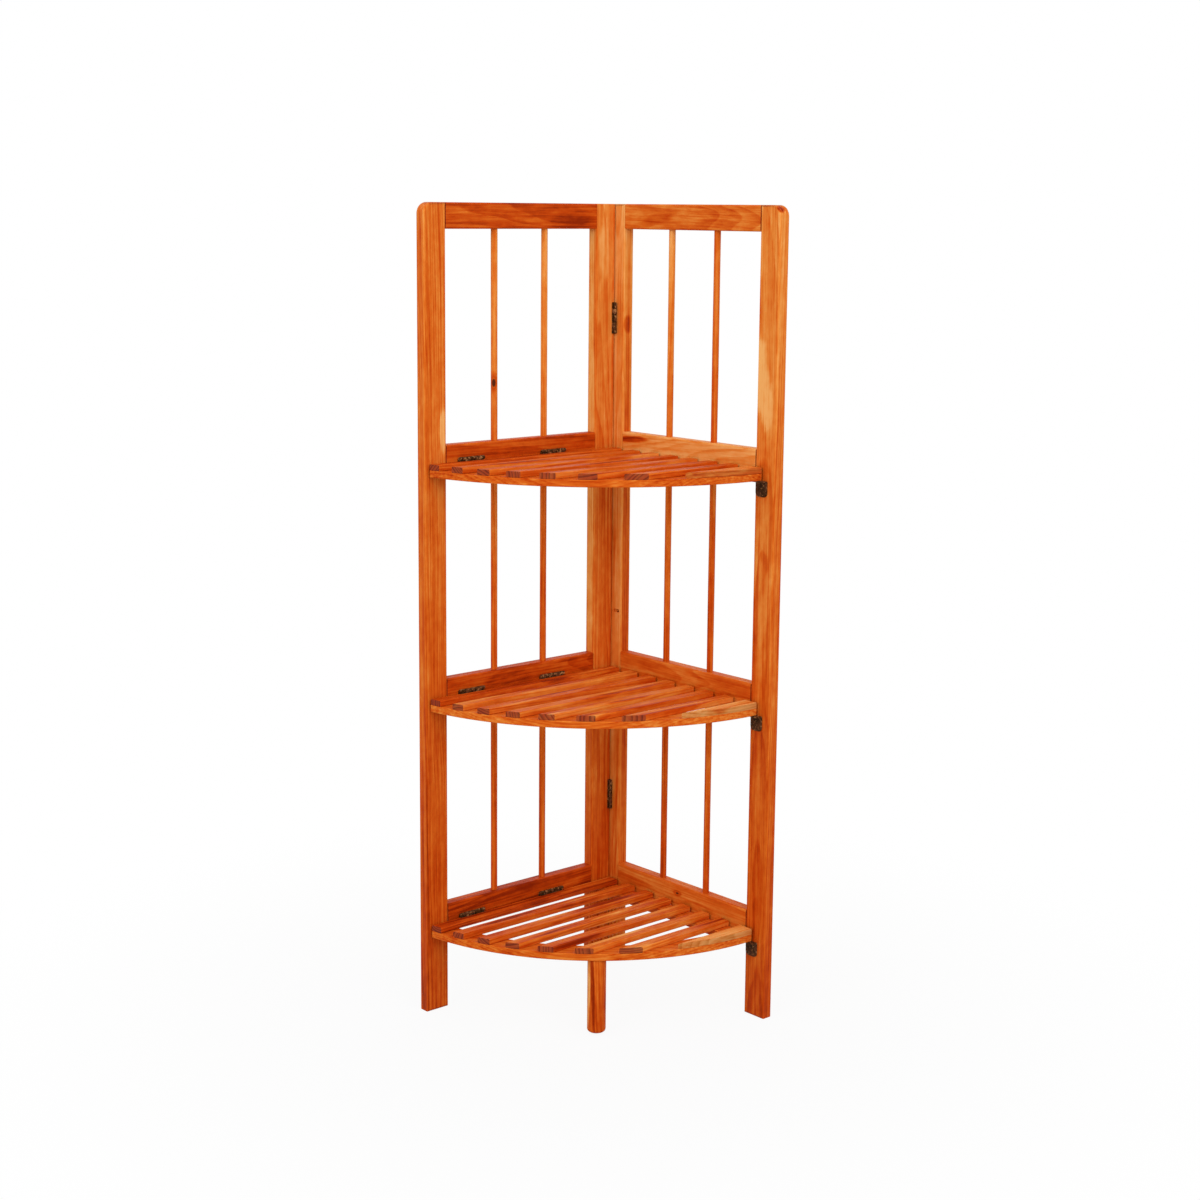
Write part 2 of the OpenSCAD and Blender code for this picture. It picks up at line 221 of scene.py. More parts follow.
def add_mesh(name, points, quads, caps, sharp=50.0):
    """A closed mesh. Its sides are smooth between edges sharper than an angle, its caps are flat,
    and its faces are turned round where its volume comes out negative."""
    mesh = bpy.data.meshes.new(name)
    mesh.from_pydata(((points + CORNER) / MM).tolist(), [], quads + caps)
    mesh.polygons.foreach_set("use_smooth", np.arange(len(mesh.polygons)) < len(quads))
    mesh.calc_loop_triangles()
    corners = np.empty(len(mesh.loop_triangles) * 3, np.int32)
    mesh.loop_triangles.foreach_get("vertices", corners)
    p = points[corners.reshape(-1, 3)]
    if np.einsum("ij,ij->", p[:, 0], np.cross(p[:, 1], p[:, 2])) < 0:
        mesh.flip_normals()
    mesh.set_sharp_from_angle(angle=np.radians(sharp))
    mesh.update()
    obj = bpy.data.objects.new(name, mesh)
    bpy.context.scene.collection.objects.link(obj)
    return obj


def joined(name, parts, sharp=50.0):
    """One mesh from several closed solids, each (points, (quads, caps))."""
    quads, caps, base = [], [], 0
    for p, (q, c) in parts:
        quads += (np.array(q) + base).tolist()
        caps += [[i + base for i in f] for f in c]
        base += len(p)
    return add_mesh(name, np.concatenate([p for p, _ in parts]), quads, caps, sharp)


# Grain: where each point of a piece lay in its log

# Marks that a piece may have and how deep they reach, the distance of a knot or mark that isn't
# there, a knot's stretch along the grain, and the angle in radians from side to lean
MARKS = 3
MARK_DEEP = 7.0
FAR = 99.0
KNOT_STRETCH = 0.5
LEAN_TURN = 0.6


class Cut:
    """How a piece was sawn and stained.

    tone is the depth of the stain at the piece's middle, 0 pale to 1 deep, and fall its change from
    start to end; on an upright piece fall is painted shade, deeper towards the floor where less
    light reaches. heart is the distance from the middle to the heart of the log, side the heart's
    direction in degrees about the length and lean the slope of the length against it. knot is
    (along, across, through, radius). A mark is a patch paler (gain below 0) or deeper than the
    rest: (along, across, through, half length, half width, slant, gain)."""

    def __init__(self, name, tone, fall=0.0, heart=None, side=None, lean=None, marks=(), knot=None):
        rng = seeded(name)
        self.heart = rng.uniform(25, 80) if heart is None else heart
        self.side = rng.uniform(0, 360) if side is None else side
        self.lean = rng.uniform(-0.04, 0.04) if lean is None else lean
        self.start = rng.uniform(0, 900)
        self.tone, self.fall, self.knot, self.marks = tone, fall, knot, marks

    def fields(self, local):
        """The values at points (along, across, through): the place in the log, and the way from the
        knot and from each mark in their own radii."""
        count = len(local)
        along, across, through = local.T
        a = np.radians(self.side)
        b = a + LEAN_TURN
        y = across + self.heart * np.cos(a) + self.lean * along * np.cos(b)
        z = through + self.heart * np.sin(a) + self.lean * along * np.sin(b)
        middle = (along.min() + along.max()) / 2
        length = max(np.ptp(along), 1.0)
        out = {
            "grain": np.stack([along + self.start, y, z], 1) / MM,
            # Painted shade: fall changes the tone along the piece, so an upright piece is deeper
            # towards the floor
            "tone": self.tone + self.fall * (along - middle) / length,
            "knot": np.full((count, 3), FAR),
        }
        if self.knot:
            u, v, w, r = self.knot
            out["knot"] = np.stack([(along - u) * KNOT_STRETCH, across - v, through - w], 1) / r
        for k in range(MARKS):
            away, gain = np.full((count, 3), FAR), 0.0
            if k < len(self.marks):
                u, v, w, long, wide, slant, gain = self.marks[k]
                side = across - v - slant * (along - u)
                away = np.stack([(along - u) / long, side / wide, (through - w) / MARK_DEEP], 1)
            out[f"mark{k + 1}"], out[f"gain{k + 1}"] = away, np.full(count, gain)
        return out


def paint_grain(obj, fields, ends):
    """Stores the grain's values at the points and how far each face cuts across the grain."""
    for name, values in fields.items():
        kind, key = ("FLOAT_VECTOR", "vector") if values.ndim == 2 else ("FLOAT", "value")
        layer = obj.data.attributes.new(name, kind, "POINT")
        layer.data.foreach_set(key, values.astype(np.float32).ravel())
    layer = obj.data.attributes.new("end_face", "FLOAT", "FACE")
    layer.data.foreach_set("value", np.asarray(ends, np.float32))


def dress(obj, node, finish):
    """Gives a new piece its material and lets it stand for its node."""
    obj.data.materials.append(finish)
    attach(obj, NODES[node]["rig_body"])
    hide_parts(node)


def board(node, pine, cut, outline, shares, thick, ease, place, heading,
          hole=None, sawn=0.0, open_end=1.0):
    """Makes a piece as a slab with its grain. heading is the grain's direction in the outline's
    plane, in degrees. A side face counts as end grain by the square of the cosine between its
    normal and the grain, or by its edge's sawn where that is more, times open_end. A hole's outline
    is sunk into the first face, which is then two polygons that meet at the hole's ends and at the
    outline's points 2 and 5."""
    pts, rings, around = slab(outline, shares, thick, ease)
    quads, caps = tube_faces(rings, around)
    h = np.radians(heading)
    grain = np.array([np.cos(h), np.sin(h)])
    across = (edge_directions(outline) @ np.array([-grain[1], grain[0]])) ** 2
    ends = np.tile(np.maximum(across, sawn) * open_end, rings - 1)
    if hole is not None:
        m, base = len(hole), len(pts)
        low = np.column_stack([hole, np.zeros(m)])
        pts = np.concatenate([pts, low, low + [0, 0, SLOT_DEEP]])
        walls = ring_faces(2, m)[:, ::-1] + base
        upper = [2, 3, 4, 5] + list(range(base + m // 2, base, -1)) + [base]
        lower = [5, 0, 1, 2, base] + list(range(base + m - 1, base + m // 2 - 1, -1))
        quads += walls.tolist()
        bottom = list(range(base + m, base + 2 * m))[::-1]
        caps = [upper[::-1], lower[::-1], caps[1], bottom]
        ends = np.concatenate([ends, np.zeros(m)])
    obj = add_mesh(node + "_timber", place(pts), quads, caps)
    flat = pts[:, :2] @ np.stack([grain, abs(grain[::-1])], 1)
    flat[:, 0] -= flat[:, 0].min()
    flat[:, 1] -= (flat[:, 1].min() + flat[:, 1].max()) / 2
    local = np.column_stack([flat, pts[:, 2] - thick / 2])
    paint_grain(obj, cut.fields(local), np.concatenate([ends, np.zeros(len(caps))]))
    dress(obj, node, pine)


# Materials

WHITE = (1.0, 1.0, 1.0, 1.0)

# Noise in the pine: cells in a metre along and across the grain, detail, roughness, and how much it
# deepens the stain. The late wood does so too, from its middle value
PINE_NOISE = {
    "streak": (3.0, 190.0, 3.0, 0.6, 0.50),
    "band": (4.0, 60.0, 2.0, 0.5, 0.28),
    "line": (5.0, 420.0, 2.0, 0.6, 0.60),
    "fibre": (24.0, 1200.0, 2.0, 0.6, 0.25),
    "blotch": (20.0, 42.0, 3.0, 0.55, 0.38),
    "mottle": (70.0, 150.0, 2.0, 0.6, 0.32),
}
LATE_GAIN, LATE_MIDDLE = 0.17, 0.4
# Width of a ring, and how far slow noise, a knot and uneven growth move it, in metres
RING_WIDTH, RING_BEND, KNOT_PUSH, RING_UNEVEN = 0.0034, 0.014, 0.008, 0.008
# Late wood over one ring, and the colours over the depth of the stain
RING_SHADES = ((0.0, 0.0), (0.4, 0.15), (0.8, 0.9), (0.92, 1.0), (1.0, 0.0))
STAINS = ((0.0, "pale"), (0.27, "honey"), (0.5, "orange"), (0.75, "red"), (1.0, "deep"))


class Tree:
    """Short calls for building the node tree of a material or a world."""

    def __init__(self, owner):
        owner.use_nodes = True
        self.nodes = owner.node_tree.nodes
        self.links = owner.node_tree.links
        self.nodes.clear()

    def put(self, socket, value):
        """Links another socket or sets a plain value."""
        if isinstance(value, bpy.types.NodeSocket):
            self.links.new(value, socket)
        else:
            socket.default_value = value

    def add(self, kind, *values, named=(), **settings):
        """A node with its settings, with values in its first inputs and in named ones."""
        node = self.nodes.new("ShaderNode" + kind)
        for key, value in settings.items():
            setattr(node, key, value)
        for key, value in (*enumerate(values), *dict(named).items()):
            self.put(node.inputs[key], value)
        return node

    def attribute(self, name, part="Fac"):
        return self.add("Attribute", attribute_name=name).outputs[part]

    def maths(self, kind, *values, clamp=False):
        return self.add("Math", *values, operation=kind, use_clamp=clamp).outputs[0]

    def times(self, a, b):
        return self.maths("MULTIPLY", a, b)

    def about(self, value, gain, middle=0.5):
        """How far a value is above its middle, times a gain."""
        return self.times(self.maths("SUBTRACT", value, middle), gain)

    def total(self, *values):
        """The sum of several values."""
        result = values[0]
        for value in values[1:]:
            result = self.maths("ADD", result, value)
        return result

    def scaled(self, vector, scale):
        """A vector times a scale along each axis."""
        return self.add("VectorMath", vector, scale, operation="MULTIPLY").outputs[0]

    def length(self, vector):
        return self.add("VectorMath", vector, operation="LENGTH").outputs[1]

    def noise(self, vector, scale, detail=2.0, rough=0.5):
        """Noise about 0.5. scale is the number of its cells in a metre along each axis."""
        values = {"Scale": 1.0, "Detail": detail, "Roughness": rough}
        return self.add("TexNoise", self.scaled(vector, scale), named=values).outputs[0]

    def step(self, value, low, high, to_low=0.0, to_high=1.0):
        """A smooth step of a value from low to high, taken to the range to_low to to_high."""
        values = (value, low, high, to_low, to_high)
        return self.add("MapRange", *values, interpolation_type="SMOOTHSTEP").outputs[0]

    def ramp(self, value, stops):
        """Colours at given values and blended between them."""
        node = self.add("ValToRGB", value)
        elements = node.color_ramp.elements
        while len(elements) < len(stops):
            elements.new(0.5)
        for element, (at, colour) in zip(elements, stops):
            element.position = at
            element.color = (*colour, 1.0)
        return node.outputs[0]

    def mix(self, factor, a, b):
        """A colour from a to b."""
        node = self.add("Mix", factor, data_type="RGBA")
        for socket, value in zip(node.inputs[6:8], (a, b)):
            self.put(socket, (*value, 1.0) if isinstance(value, tuple) else value)
        return node.outputs[2]

    def surface(self, values, bump):
        """Ends the tree in a principled shader with its values and its bump's."""
        values["Normal"] = self.add("Bump", named=bump).outputs[0]
        self.add("OutputMaterial", self.add("BsdfPrincipled", named=values).outputs[0])

    def white_rays(self):
        """One where a camera, glossy or transmission ray looks, else zero."""
        path = self.add("LightPath")
        total = path.outputs["Is Camera Ray"]
        for other in ("Is Glossy Ray", "Is Transmission Ray"):
            total = self.maths("MAXIMUM", total, path.outputs[other])
        return total


def srgb(r, g, b):
    """A colour as measured on a screen, 0 to 255, as the linear values that shaders use."""
    c = np.array([r, g, b]) / 255.0
    return tuple(np.where(c <= 0.04045, c / 12.92, ((c + 0.055) / 1.055) ** 2.4).tolist())


def paint_pine(t, colours):
    """Stained and varnished pine. The distance from the heart of the log, bent by slow noise, the
    knot and uneven growth, is divided by the ring width, and its fraction gives the early and the
    late wood of each ring. These, the noise and the marks are added to the tone of the piece, and
    the sum picks a colour from pale to deep. End faces are deeper and show the rings more."""
    grain = t.attribute("grain", "Vector")
    noise = {key: t.noise(grain, (along, across, across), detail, rough)
             for key, (along, across, detail, rough, _) in PINE_NOISE.items()}
    fibre, streak, blotch = noise["fibre"], noise["streak"], noise["blotch"]

    knot = t.length(t.attribute("knot", "Vector"))
    push = t.maths("EXPONENT", t.times(knot, -0.8))
    radius = t.length(t.scaled(grain, (0.0, 1.0, 1.0)))
    slow = t.noise(grain, (3.5, 16.0, 16.0))
    bent = t.total(radius, t.about(slow, RING_BEND), t.times(push, KNOT_PUSH))
    growth = t.noise(t.add("CombineXYZ", bent).outputs[0], (110.0, 0.0, 0.0), 1.0)
    rings = t.maths("DIVIDE", t.total(bent, t.about(growth, RING_UNEVEN)), RING_WIDTH)
    late = t.ramp(t.maths("FRACT", rings), [(at, (v,) * 3) for at, v in RING_SHADES])

    depth = t.total(
        t.attribute("tone"), t.about(late, LATE_GAIN, LATE_MIDDLE),
        *(t.about(noise[key], facts[-1]) for key, facts in PINE_NOISE.items()))
    for k in range(1, MARKS + 1):
        away = t.length(t.attribute(f"mark{k}", "Vector"))
        away = t.total(away, t.about(blotch, 0.9), t.about(streak, 0.8))
        mask = t.step(away, 0.62, 1.15, to_low=1.0, to_high=0.0)
        depth = t.total(depth, t.times(mask, t.attribute(f"gain{k}")))
    halo = t.step(knot, 1.0, 3.2, to_low=0.28, to_high=0.0)
    depth = t.maths("ADD", depth, halo, clamp=True)

    stain = t.ramp(depth, [(at, colours[key]) for at, key in STAINS])
    stain = t.mix(t.step(knot, 0.7, 1.1, to_low=1.0, to_high=0.0), stain, colours["knot"])
    end = t.attribute("end_face")
    cross = t.ramp(late, [(0.0, colours["end_pale"]), (1.0, colours["end_dark"])])
    coarse = t.total(fibre, t.times(end, 0.3))
    height = t.total(t.times(fibre, 0.6), t.times(late, 0.25), t.times(streak, 0.8))
    t.surface({
        "Base Color": t.mix(t.step(end, 0.25, 0.8, to_high=0.9), stain, cross),
        "Roughness": t.step(coarse, 0.3, 0.9, to_low=0.38, to_high=0.62),
        "Specular IOR Level": 0.07,
        "Specular Tint": (1.0, 0.62, 0.32, 1.0),
    }, bump={"Height": height, "Strength": 0.30, "Distance": 0.0005})


def paint_bronze(t, colours):
    """Antiqued steel: a dark brown skin, rubbed to a matt brass where coarse noise is high. The
    attribute shade is painted shade: it darkens the skin towards the screw colour and takes the
    rubbing away, fully on the screws, which show as dark spots, and in part on the brackets under
    the shelves."""
    place = t.add("TexCoord").outputs["Object"]
    rubbed = t.noise(place, (300.0,) * 3, 3.0, 0.6)
    fine = t.noise(place, (2600.0,) * 3)
    tint = t.noise(place, (150.0,) * 3)
    shade = t.attribute("shade")
    skin = t.mix(t.step(tint, 0.4, 0.6), colours["bronze"], colours["skin"])
    # Painted shade: the skin darkens towards the screw colour where the attribute shade is high
    skin = t.mix(t.times(shade, 0.8), skin, colours["screw"])
    rub = t.times(t.step(rubbed, 0.53, 0.66), t.maths("SUBTRACT", 1.0, shade))
    t.surface({
        "Base Color": t.mix(rub, skin, colours["rubbed"]),
        "Roughness": t.step(fine, 0.2, 0.8, to_low=0.42, to_high=0.62),
        "Metallic": 0.10,
        "Specular IOR Level": 0.10,
        "Specular Tint": (0.8, 0.45, 0.22, 1.0),
    }, bump={"Height": fine, "Strength": 0.15, "Distance": 0.0002})


def setting_names(group):
    """The names of a group's own settings."""
    return [key for key in group.bl_rna.properties.keys() if key not in ("rna_type", "name")]


def finish(name, paint, settings):
    """Makes a finish once and hands it back after that."""
    made = bpy.data.materials.get(name)
    if made is None:
        made = bpy.data.materials.new(name)
        paint(Tree(made), {key: tuple(getattr(settings, key)) for key in setting_names(settings)})
    return made


# Timber of the frames


def left_place(p):
    """Points (u, z, n) of the left frame."""
    return np.stack([-p[:, 2], -p[:, 0], p[:, 1]], 1)


def right_place(p):
    """Points (u, z, n) of the right frame."""
    return np.stack([p[:, 0] - THICK, p[:, 2], p[:, 1]], 1)


PLACES = {"left": left_place, "right": right_place}

# How each piece was sawn and stained, as a Cut says: tone, fall, heart, side, lean, marks, knot.
# The tones are partly the wood's own stain and partly painted light: the right frame, whose faces
# turn towards the light, is paler than the left. On the stiles fall is painted shade, deeper
# towards the floor.
STILES = {
    # The left front stile's second mark deepens its foot below the low shelf: painted shade.
    "left_front_stile": (0.55, -0.22, 46, 200, 0.014, [
        (700, -12, -7, 26, 6, 0.0, -0.30), (20, 0, 0, 90, 30, 0.0, 0.22)]),
    "left_back_stile": (0.51, -0.34, 60, 250, 0.012, [
        (900, 3, -7, 44, 9, 0.0, -0.14), (660, 18, 0, 380, 6, 0.0, -0.22)]),
    "right_back_stile": (0.30, -0.26, 52, 280, -0.015, [
        (460, 18, 0, 540, 5, 0.0, 0.34), (815, 17, -2, 13, 7, 0.0, 0.36)]),
    "right_front_stile": (0.52, -0.42, 34, 262, 0.020, [
        (752, -6, -7, 66, 14, -0.20, -0.36), (490, 2, -7, 60, 9, 0.16, -0.16),
        (956, 12, -4, 5, 4, -0.8, 0.5)]),
}
RAILS = {
    "left_top_rail": (0.78, 0.0, 50, 250, 0.03, [(40, -6, -7, 34, 10, 0.0, 0.16)]),
    "left_upper_rail": (0.72, 0.0, 48, 275, -0.02),
    "left_middle_rail": (0.76, 0.0, 40, 260, 0.05),
    "left_lower_rail": (0.86, 0.0, 45, 280, 0.03),
    "right_top_rail": (0.47, 0.0, 58, 265, 0.06, [
        (60, -3, -7, 30, 7, 0.1, 0.14), (150, -6, -7, 34, 6, 0.0, 0.12)]),
    "right_upper_rail": (0.22, 0.0, 42, 285, -0.05, [(14, 7, -7, 34, 4.5, 0.05, 0.55)]),
    "right_middle_rail": (0.56, 0.0, 50, 262, 0.03),
    "right_lower_rail": (0.48, 0.0, 55, 272, 0.02, [], (110.0, 4.0, -7.0, 1.5)),
}

# How each spindle was stained, bay by bay from below and from the corner outwards, and the one
# knot.
# The tones are partly the wood's own stain and partly painted shade, the lower bays deeper.
SPINDLE_TONES = {
    "left": ((0.64, 0.62), (0.54, 0.56), (0.33, 0.42)),
    "right": ((0.66, 0.66), (0.62, 0.60), (0.28, 0.56)),
}
SPINDLE_KNOTS = {("left", 2, 2): (751.0, 3.0, -3.0, 2.6)}


def stile_outline(front):
    """The stile's face (u, z): a rectangle. A front stile has a quarter round at its outer top
    corner. The points 2 and 5 of a back stile lie at the slot's height."""
    if front:
        corner = arc((STILE - TOP_ROUND, HEIGHT - TOP_ROUND), TOP_ROUND, 0, 90, 12)
        outline = np.concatenate([[(0, 0), (STILE, 0)], corner, [(0, HEIGHT)]])
        outline += [WIDTH - STILE, 0]
    else:
        outline = np.array([(0, 0), (STILE, 0), (STILE, SLOT_Z), (STILE, HEIGHT), (0, HEIGHT),
                            (0, SLOT_Z)], float)
    return outline, np.ones(len(outline))


def slot_outline():
    """The slot (u, z): half circles about its two ends with straight sides between them."""
    near, far = SLOT_ENDS
    runs = ((far, 0, 90, 7), (near, 90, 270, 13), (far, 270, 345, 6))
    return np.concatenate([arc((u, SLOT_Z), SLOT_R, *run) for u, *run in runs])


def seated_stile(node, pine, cut, edge):
    """Makes the left back stile. Its section (u, n) with rounded corners is carried up its height
    and drawn in by a quarter round at both ends. Along each corner hinge one corner steps back for
    the seat. back is the open joint to the other frame, and rim keeps the flats' shading flat."""
    back, ease, rim, steps, jump = 0.7, 0.8, 0.7, 5, 0.02
    a = np.linspace(0, np.pi / 2, steps)
    corners = ((STILE - edge, THICK - edge), (back + edge, THICK - edge), (back + edge, edge),
               (STILE - edge, edge))
    section = []
    for k, (u, n) in enumerate(corners):
        b = a + k * np.pi / 2
        arm = rim * np.array([[np.sin(b[0]), -np.cos(b[0])], [-np.sin(b[-1]), np.cos(b[-1])]])
        curve = np.stack([u + edge * np.cos(b), n + edge * np.sin(b)], 1)
        section += [curve[:1] + arm[:1], curve, curve[-1:] + arm[1:]]
    section = np.concatenate(section)
    seat = section.copy()
    deep, side = LEAF_W - NOTCH / 2 + FIT, steps + 2
    seat[2 * side:3 * side] = [
        (back, deep + 0.6), (back, deep), (2.4, deep), (NOTCH, deep), (NOTCH, 4.0), (NOTCH, 0.0),
        (NOTCH + 0.6, 0.0)]
    rise, inset = quarter_round(ease, steps)
    middle = (section.min(0) + section.max(0)) / 2
    half = (section.max(0) - section.min(0)) / 2
    whole = [section] * steps
    stations = [*zip(rise, inset, whole), (ease + rim, 0.0, section)]
    for z in CORNER_HINGES:
        z0, z1 = z - HINGE_L / 2 - FIT, z + HINGE_L / 2 + FIT
        stations += [(z0, 0, section), (z0 + jump, 0, seat), (z1 - jump, 0, seat), (z1, 0, section)]
    stations += [(HEIGHT - ease - rim, 0.0, section), *zip(HEIGHT - rise[::-1], inset[::-1], whole)]
    rings = [np.column_stack([middle + (s - middle) * (half - d) / half, np.full(len(s), z)])
             for z, d, s in stations]
    pts = np.concatenate(rings)[:, [0, 2, 1]]
    quads, caps = tube_faces(len(rings), len(section))
    obj = add_mesh(node + "_timber", left_place(pts), quads, caps)
    local = np.stack([pts[:, 1], pts[:, 0] - STILE / 2, pts[:, 2] - THICK / 2], 1)
    paint_grain(obj, cut.fields(local), [0] * len(quads) + [1, 1])
    dress(obj, node, pine)


def rail_outline(top):
    """A cross rail's face (u, z): a rectangle between the stiles."""
    low, far = top - RAIL, WIDTH - STILE
    outline = np.array([(STILE, low), (far, low), (far, top), (STILE, top)], float)
    return outline, np.array([1.0, 0.1, 1.0, 0.1])


def round_rod(centre, z, radius, around):
    """A round rod: a circle for each height and radius about an upright line through centre. Hands
    back its points and (along, across, through)."""
    x, y = circles(radius, around)
    up = np.repeat(z[:, None], around, 1)
    pts = np.stack([x + centre[0], y + centre[1], up], -1).reshape(-1, 3)
    return pts, np.stack([up, x, y], -1).reshape(-1, 3)


def spindle(z0, z1, centre, rng):
    """A dowel whose surface sinks by up to a tenth in a slow sine. Hands back the solid and (along,
    across, through)."""
    rings, around, sink, wave = 30, 20, 0.05, 31
    z = np.linspace(z0, z1, rings)
    radius = SPINDLE_R - sink * (1 + np.sin(z / wave + rng.uniform(0, 6)))
    pts, local = round_rod(centre, z, radius, around)
    return (pts, tube_faces(rings, around)), local


# Timber of the shelves, drawn in plan: x along the right frame, y along the left one to the front


def arc_angle(x):
    """The angle on the circle of the curved front, in degrees, at x."""
    return np.degrees(np.arccos((x + ARC_BACK) / ARC_R))


def shelf_place(z0):
    """Turns plan points and heights above z0 into places."""
    return lambda p: np.stack([p[:, 0], -p[:, 1], p[:, 2] + z0], 1)


def slat_outline(k):
    """A slat in plan: from the right frame's side to the circle of the curved front, which is also
    the last slat's right side. The first slat's back edge steps in at the two hinges. Hands back
    the outline and each edge's share of the rounding."""
    whole, end, notch, tip = 1.0, 0.25, 0.15, 0.03
    last = k == SLATS
    x0 = SLAT_BACK + (k - 1) * SLAT_PITCH
    x1 = SHELF_X - tip if last else x0 + SLAT_W
    front = arc((-ARC_BACK, 0), ARC_R, arc_angle(x1), arc_angle(x0), 10 if last else 4).tolist()
    if last:
        front = front[1:]
    outline = [(x0, END_GAP), (x1, END_GAP)] + front
    shares = [end, end if last else whole] + [end] * (len(front) - 1)
    if k == 1:
        for h in HINGES[::-1]:
            near, far = h - HINGE_L / 2 - FIT, h + HINGE_L / 2 + FIT
            outline += [(x0, far), (NOTCH, far), (NOTCH, near), (x0, near)]
            shares += [whole, notch, notch, notch]
    return np.array(outline), np.array(shares + [whole])


def front_rail_outline():
    """The curved rail in plan: between two circles, cut off square to both frames."""

    def span(r):
        return np.degrees(np.arcsin(END_GAP / r)), np.degrees(np.arccos((SLAT_BACK + ARC_BACK) / r))

    centre, inner = (-ARC_BACK, 0), ARC_R - RAIL_W
    outside = arc(centre, ARC_R, *span(ARC_R), 44)
    inside = arc(centre, inner, *span(inner)[::-1], 40)
    shares = np.ones(len(outside) + len(inside))
    shares[[len(outside) - 1, -1]] = 0.3
    return np.concatenate([outside, inside]), shares


def batten_outline():
    """The batten in plan: along the right frame, its far end on the curved rail's inner circle."""
    long, end = 1.0, 0.3
    y = np.linspace(END_GAP, END_GAP + BATTEN_W, 5)
    far = np.sqrt((ARC_R - RAIL_W - FIT) ** 2 - y**2) - ARC_BACK
    outline = np.array([(SLAT_BACK, y[0]), *zip(far, y), (SLAT_BACK, y[-1])])
    return outline, np.array([long, end, end, end, end, long, end])


# How each slat was stained, from the left frame to the right, then the curved rail and the batten
SHELF_TONES = {
    "low": (0.76, 0.66, 0.62, 0.50, 0.60, 0.44, 0.42, 0.20, 0.53, 0.62),
    "middle": (0.74, 0.46, 0.58, 0.48, 0.44, 0.56, 0.44, 0.16, 0.48, 0.58),
    "top": (0.66, 0.56, 0.56, 0.58, 0.52, 0.62, 0.60, 0.46, 0.60, 0.56),
}


# Fittings


def screw_solid(length):
    """A countersunk screw with its head on the plane z = 0: circles from the point up the shank and
    the cone, then over the head, whose points sink into the cross recess near its two arms' middle
    lines."""
    shank = np.array([0.15, 1.1, 1.1, 2.0, 2.1, 2.02])
    head = np.array([1.85, 1.6, 1.42, 1.25, 1.05, 0.85, 0.65, 0.45, 0.25])
    radius = np.concatenate([shank, head])
    z = np.concatenate([[-length, 2.2 - length, -1.0, -0.12, -0.08, -0.02], np.zeros(len(head))])
    around, recess, arm_half, arm_ease, reach, reach_ease = 32, 0.75, 0.48, 0.22, 1.55, 0.3
    x, y = circles(radius, around)
    arm = np.clip((arm_half - np.minimum(abs(x), abs(y))) / arm_ease, 0, 1)
    inside = np.clip((reach - radius[:, None]) / reach_ease, 0, 1)
    sink = recess * arm**2 * (3 - 2 * arm) * inside
    sink[:len(shank)] = 0
    pts = np.stack([x, y, z[:, None] - sink], -1).reshape(-1, 3)
    return pts, tube_faces(len(radius), around)


def turned(points, axis, at, spin):
    """Points whose z axis is laid along axis, turned by spin about it and moved to at."""
    axis = np.array(axis, float)
    upright = abs(axis[2]) > 0.9
    side = np.array([1.0, 0.0, 0.0]) if upright else np.cross([0.0, 0.0, 1.0], axis)
    side /= np.linalg.norm(side)
    other = np.cross(axis, side)
    c, s = np.cos(spin), np.sin(spin)
    basis = np.stack([c * side + s * other, -s * side + c * other, axis])
    return points @ basis + np.array(at, float)


def screws(holes, rng, places=(lambda p: p,)):
    """Screws from (at, axis out of the head, length), one set at each place. A head stands a little
    out of its seat."""
    proud, parts = 0.06, []
    for place in places:
        for at, axis, length in holes:
            pts, faces = screw_solid(length)
            pts = turned(pts + [0, 0, proud], axis, at, rng.uniform(0, np.pi / 2))
            parts.append((place(pts), faces))
    return parts


def placed(solids, places):
    """Copies of the solids, one set at each place."""
    return [(place(pts), faces) for place in places for pts, faces in solids]


def shelf_hinge(level, h):
    """Sets a hinge at h along the left rail of a shelf: its leaves hang down from the barrel."""
    z = SHELF_TOPS[level] + NOTCH / 2
    return lambda p: np.stack([p[:, 0], -h - p[:, 2], z + p[:, 1]], 1)


def corner_hinge(z):
    """Sets a hinge at height z in the corner of the two frames."""
    return lambda p: np.stack([NOTCH / 2 + p[:, 1], -p[:, 0], z + p[:, 2]], 1)


def block(low, high):
    """A box between two corners."""
    (x0, y0, z0), (x1, y1, z1) = low, high
    ring = ((x0, y0), (x1, y0), (x1, y1), (x0, y1))
    return np.array([(*at, z) for z in (z0, z1) for at in ring]), tube_faces(2, 4)


def leaf(side):
    """The solids of a hinge leaf, first (0) or second (1): a plate, and for every other knuckle a
    tongue and a round piece with eased ends. x points out of the timber under the first leaf, z
    along the pin, which runs through (NOTCH / 2, 0)."""
    around, tongue_end = 24, -0.1
    rise, sink = np.array([0.0, 0.15, 0.5, 1.0]), np.array([0.8, 0.45, 0.12, 0.0])
    x, half, share = side * (NOTCH - LEAF_T), HINGE_L / 2, HINGE_L / KNUCKLES
    parts = [block((x, -LEAF_W, -half), (x + LEAF_T, -NOTCH / 2, half))]
    for k in range(side, KNUCKLES, 2):
        z0 = -half + k * share + KNUCKLE_GAP
        z1 = -half + (k + 1) * share - KNUCKLE_GAP
        parts.append(block((x, -NOTCH / 2, z0), (x + LEAF_T, tongue_end, z1)))
        z = np.concatenate([z0 + rise, z1 - rise[::-1]])
        radius = BARREL_R - np.concatenate([sink, sink[::-1]])
        pts, _ = round_rod((NOTCH / 2, 0.0), z, radius, around)
        parts.append((pts, tube_faces(len(z), around)))
    return parts


